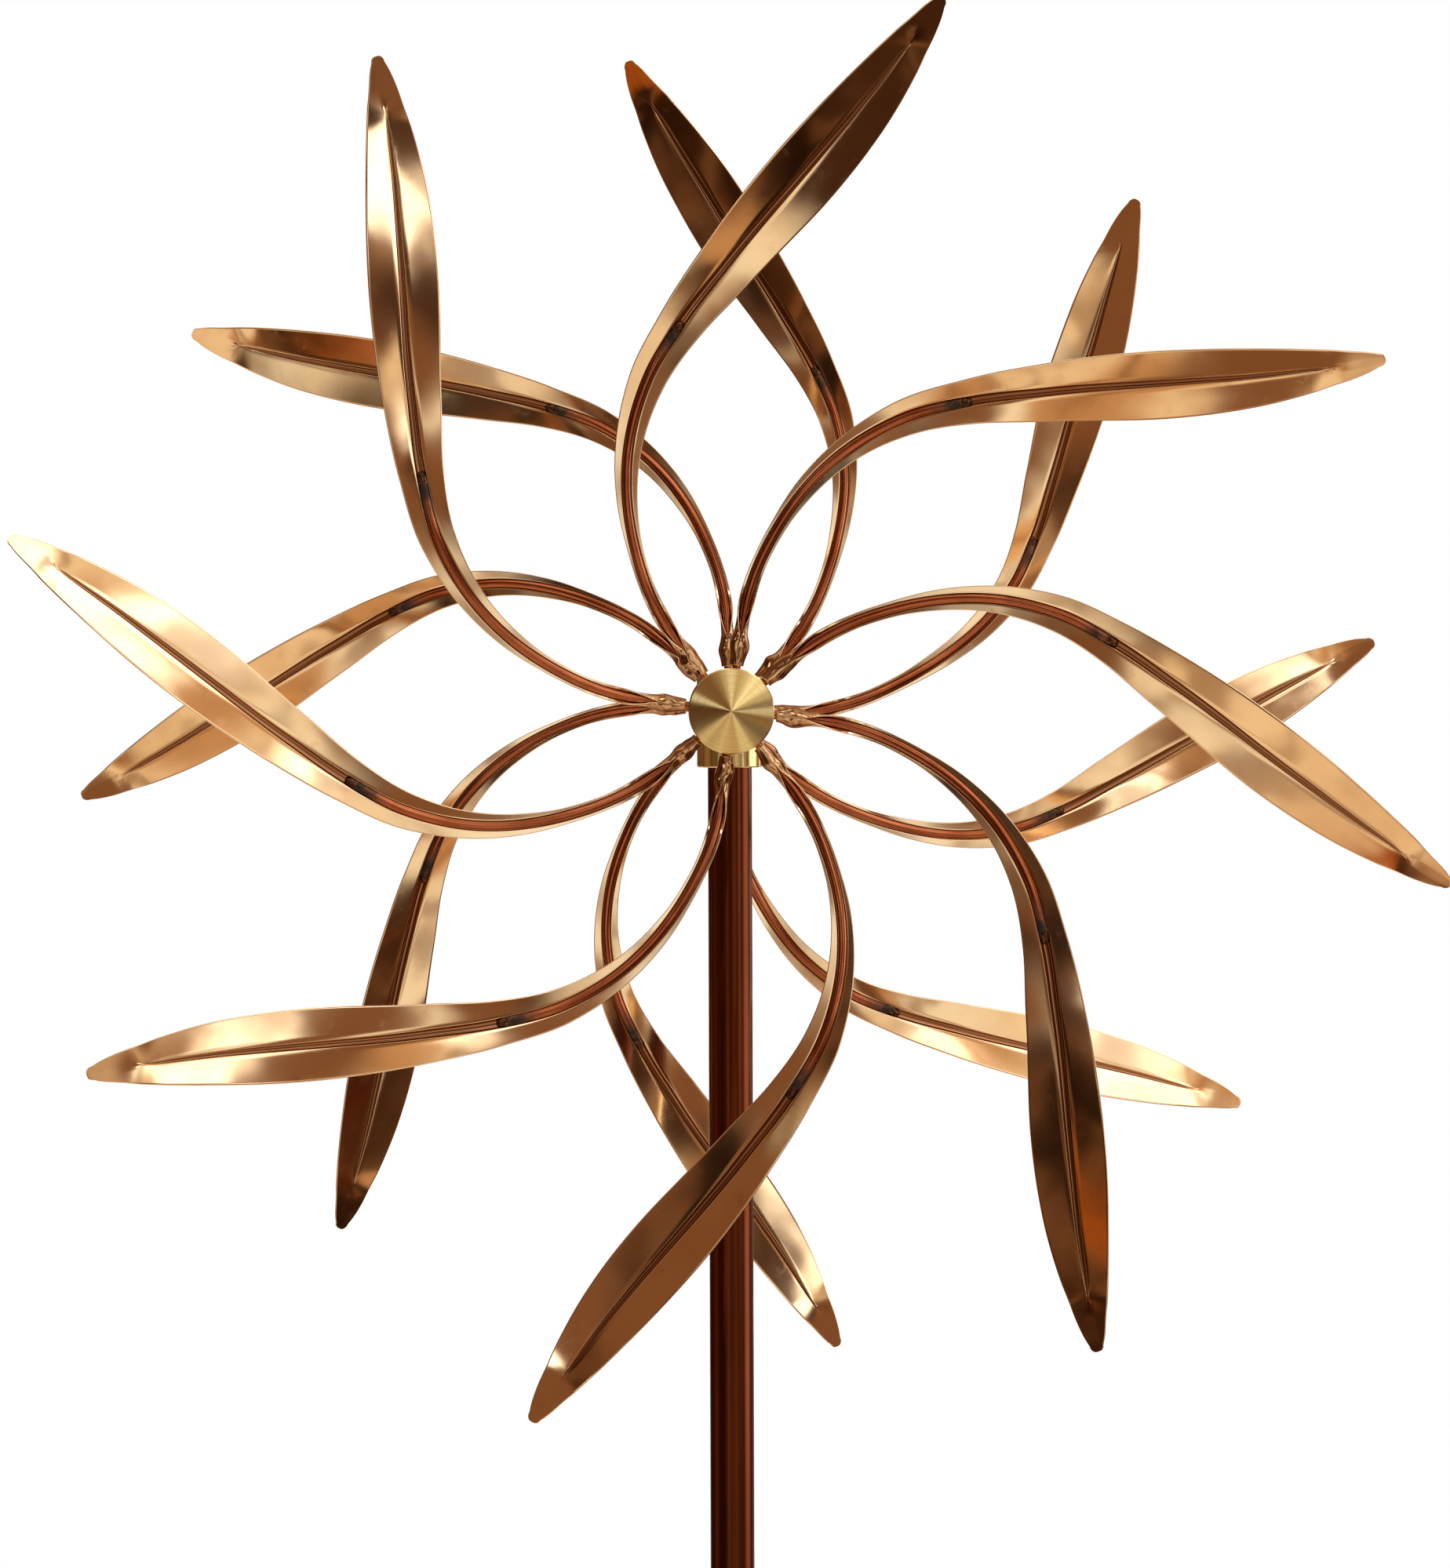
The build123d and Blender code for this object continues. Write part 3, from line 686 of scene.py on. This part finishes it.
def make_floor():
    """Pale disc under the object's lowest point."""
    low, _ = cad_box
    material, nodes, links, shader = new_material("pale_floor")
    haze = noise_at(nodes, links, 3.0, 4.0)
    links.new(mixed(nodes, links, haze, (0.62, 0.70, 0.80), (0.59, 0.67, 0.77)),
              shader.inputs["Base Color"])
    shader.inputs["Roughness"].default_value = 0.7
    points = []
    for k in range(FLOOR_SIDES):
        turn = 2 * math.pi * k / FLOOR_SIDES
        points.append((FLOOR_RADIUS * math.cos(turn), FLOOR_RADIUS * math.sin(turn), low.z))
    mesh = bpy.data.meshes.new("floor")
    mesh.from_pydata(points, [], [tuple(range(FLOOR_SIDES))])
    floor = bpy.data.objects.new("floor", mesh)
    bpy.context.scene.collection.objects.link(floor)
    floor.data.materials.append(material)
    floor.visible_glossy = False


# What the metal mirrors, painted patch over patch on the sky round the object. For each patch: the
# way it lies as seen from the camera, in degrees anticlockwise from the right; its degrees from
# the camera's own direction; its half-angle; the width of its soft edge; and its tone.
TONES = {
    "white": (2.60, 2.50, 2.35), "pale": (1.0, 0.90, 0.74),
    "cream": (0.94, 0.74, 0.51), "gold": (0.58, 0.32, 0.15),
    "brown": (0.215, 0.090, 0.038), "dark": (0.052, 0.019, 0.007),
    "black": (0.014, 0.005, 0.002), "orange": (0.40, 0.10, 0.012),
}
PATCHES = (
    (90, 80, 50, 16, "cream"),
    (-95, 62, 44, 14, "cream"),
    (0, 0, 37, 10, "pale"),
    (0, 0, 12, 9, "dark"),
    (48, 54, 24, 12, "cream"),
    (45, 40, 7, 6, "white"),
    (55, 67, 11, 8, "white"),
    (0, 84, 13, 8, "white"),
    (-12, 31, 7, 6, "brown"),
    (-6, 42, 6, 5, "brown"),
    (0, 62, 14, 8, "brown"),
    (-3, 54, 5, 4, "cream"),
    (-1, 47, 5, 4, "white"),
    (9, 49, 3, 3, "brown"),
    (12, 50, 5, 4, "dark"),
    (-1, 64, 5, 5, "dark"),
    (15, 70, 5, 4, "dark"),
    (7, 77, 6, 4, "white"),
    (-42, 45, 11, 7, "dark"),
    (-40, 66, 17, 8, "dark"),
    (-46, 63, 9, 6, "black"),
    (-49, 53, 5, 5, "gold"),
    (-90, 38, 9, 6, "gold"),
    (-84, 59, 5, 4, "brown"),
    (-88, 72, 6, 6, "gold"),
    (-80, 82, 10, 7, "brown"),
    (-120, 52, 8, 5, "orange"),
    (-121, 54, 5, 4, "dark"),
    (-111, 17, 6, 6, "brown"),
    (-34, 15, 7, 6, "brown"),
    (178, 47, 27, 10, "dark"),
    (171, 24, 9, 6, "black"),
    (180, 50, 12, 8, "black"),
    (-166, 66, 10, 6, "black"),
    (-174, 60, 4, 4, "orange"),
    (136, 50, 24, 12, "brown"),
    (155, 66, 11, 8, "black"),
    (115, 19, 8, 6, "black"),
    (125, 26, 6, 6, "dark"),
    (113, 27, 4, 3, "cream"),
    (77, 27, 7, 6, "brown"),
    (85, 46, 6, 6, "gold"),
    (90, 56, 8, 6, "brown"),
    (95, 43, 4, 4, "gold"),
    (89, 37, 5, 4, "white"),
    (97, 66, 6, 4, "white"),
    (50, 49, 5, 4, "gold"),
    (44, 58, 5, 4, "gold"),
    (64, 9, 6, 6, "brown"),
    (180, 11, 5, 5, "brown"),
    (158, 40, 5, 4, "white"),
    (-162, 42, 9, 6, "dark"),
    (4, 37, 6, 4, "dark"),
)
SKY_DARK = (0.105, 0.040, 0.015)
SKY_LIGHT = (0.44, 0.235, 0.115)
SKY_WARP = 0.10
SKY_BLOTS = 0.7


def make_world():
    """Pale backdrop to the eye, and soft patches of light and dark for everything else."""
    world = bpy.data.worlds.new("studio")
    bpy.context.scene.world = world
    world.use_nodes = True
    nodes, links = world.node_tree.nodes, world.node_tree.links
    nodes.clear()
    plain = add(nodes, "ShaderNodeTexCoord").outputs["Generated"]
    # The sky is the same in front of the object and behind it.
    parts = add(nodes, "ShaderNodeSeparateXYZ")
    links.new(plain, parts.inputs[0])
    joined = add(nodes, "ShaderNodeCombineXYZ")
    links.new(parts.outputs[0], joined.inputs[0])
    links.new(computed(nodes, links, parts.outputs[1], 0.0, "ABSOLUTE"), joined.inputs[1])
    links.new(parts.outputs[2], joined.inputs[2])
    folded = joined.outputs[0]
    cloud = add(nodes, "ShaderNodeTexNoise", {"Scale": 3.2, "Detail": 2.0, "Roughness": 0.5})
    links.new(folded, cloud.inputs["Vector"])
    centred = add(nodes, "ShaderNodeVectorMath", operation="SUBTRACT")
    links.new(cloud.outputs["Color"], centred.inputs[0])
    centred.inputs[1].default_value = (0.5, 0.5, 0.5)
    scaled = add(nodes, "ShaderNodeVectorMath", operation="SCALE")
    links.new(centred.outputs[0], scaled.inputs[0])
    scaled.inputs["Scale"].default_value = SKY_WARP
    warped = add(nodes, "ShaderNodeVectorMath", operation="ADD")
    links.new(folded, warped.inputs[0])
    links.new(scaled.outputs[0], warped.inputs[1])
    where = add(nodes, "ShaderNodeVectorMath", operation="NORMALIZE")
    links.new(warped.outputs[0], where.inputs[0])
    total = mixed(nodes, links, ranged(nodes, links, cloud.outputs["Fac"], 0.42, 0.58, 0.0, 1.0),
                  SKY_DARK, SKY_LIGHT)
    for way, lean, half_angle, soft, tone in PATCHES:
        dot = add(nodes, "ShaderNodeVectorMath", operation="DOT_PRODUCT")
        links.new(where.outputs[0], dot.inputs[0])
        flat = math.sin(math.radians(lean))
        dot.inputs[1].default_value = (flat * math.cos(math.radians(way)),
                                       math.cos(math.radians(lean)),
                                       flat * math.sin(math.radians(way)))
        inner, outer = math.radians(half_angle - soft / 2), math.radians(half_angle + soft / 2)
        share = ranged(nodes, links, dot.outputs["Value"], math.cos(outer), math.cos(inner), 0.0, 1.0)
        total = mixed(nodes, links, share, total, TONES[tone])
    blots = add(nodes, "ShaderNodeTexNoise", {"Scale": 8.0, "Detail": 1.5, "Roughness": 0.45})
    links.new(folded, blots.inputs["Vector"])
    total = mixed(nodes, links, ranged(nodes, links, blots.outputs["Fac"], 0.52, 0.61, 0.0, SKY_BLOTS),
                  total, TONES["brown"])
    seen = add(nodes, "ShaderNodeLightPath").outputs["Is Camera Ray"]
    background = add(nodes, "ShaderNodeBackground")
    links.new(mixed(nodes, links, seen, total, (1.0, 1.0, 1.0)), background.inputs["Color"])
    output = add(nodes, "ShaderNodeOutputWorld")
    links.new(background.outputs[0], output.inputs["Surface"])


def soft_light(name, at, aim, size, power):
    """A soft lamp that lights the floor and stake, and that the metal doesn't mirror."""
    light = bpy.data.lights.new(name, "AREA")
    light.shape = "RECTANGLE"
    light.size, light.size_y = size
    light.energy = power
    lamp = bpy.data.objects.new(name, light)
    bpy.context.scene.collection.objects.link(lamp)
    lamp.location = at
    lamp.rotation_euler = (Vector(aim) - Vector(at)).to_track_quat("-Z", "Y").to_euler()
    lamp.visible_camera = False
    lamp.visible_glossy = False


def make_camera():
    """The camera, level with the axle and nearly square on to the front rotor."""
    camera = bpy.data.cameras.new("camera")
    camera.lens = LENS
    camera.sensor_width = 36.0
    eye = bpy.data.objects.new("camera", camera)
    bpy.context.scene.collection.objects.link(eye)
    up = CAMERA_BACK.cross(CAMERA_RIGHT)
    turn = Matrix((CAMERA_RIGHT, up, CAMERA_BACK)).transposed().to_4x4()
    eye.matrix_world = Matrix.Translation(axle + CAMERA_AT) @ turn
    bpy.context.scene.camera = eye


make_floor()
make_world()
make_camera()
soft_light("overhead", (0.3, -0.3, 4.2), (0, 0, 0), (3.0, 3.0), 60)
bpy.context.scene.view_settings.view_transform = "Standard"
